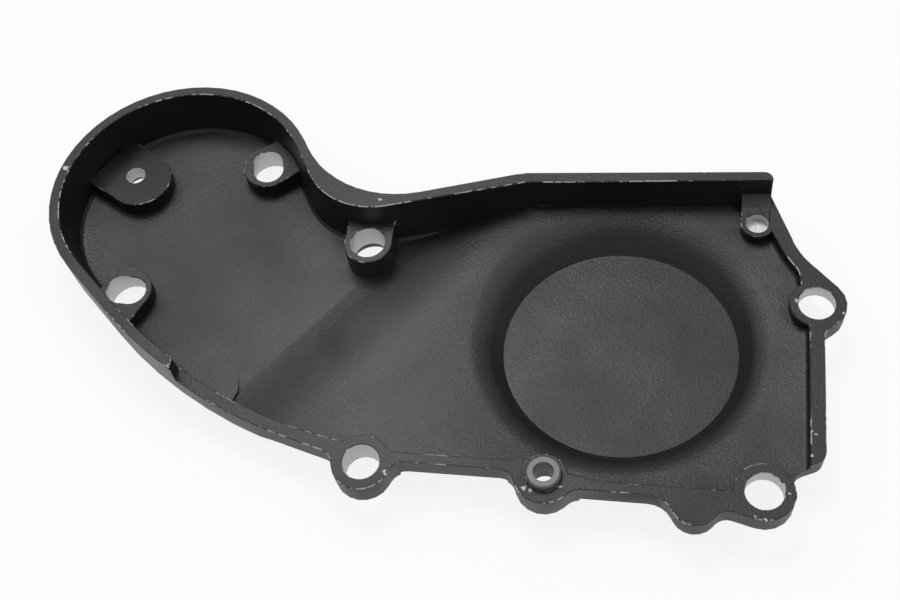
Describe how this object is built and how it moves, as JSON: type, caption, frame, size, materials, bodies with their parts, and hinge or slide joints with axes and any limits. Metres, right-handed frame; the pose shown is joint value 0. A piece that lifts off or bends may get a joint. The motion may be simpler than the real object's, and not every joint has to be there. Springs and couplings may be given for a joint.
{
  "type": "cam cover trim",
  "caption": "Shallow die-cast engine side cover with a round cam end, a round pocket, a raised rim wall, lugged screw holes and a hollow locating dowel.",
  "frame": {"origin": "centre of the round screw hole at the low edge beside the round end, on the mounting face", "axes": "+X along the line of the low screw hole, the dowel and the corner screw hole, +Y towards the tall top wall, +Z out of the mounting face towards the engine"},
  "size_m": [0.2077, 0.1173, 0.0183],
  "materials": {
    "black_coat": "satin black coat on a slightly pitted casting",
    "dowel_metal": "bare dull grey metal"
  },
  "bodies": {
    "root": {"cover": "black_coat", "hollow_dowel": "dowel_metal"}
  },
  "joints": []
}
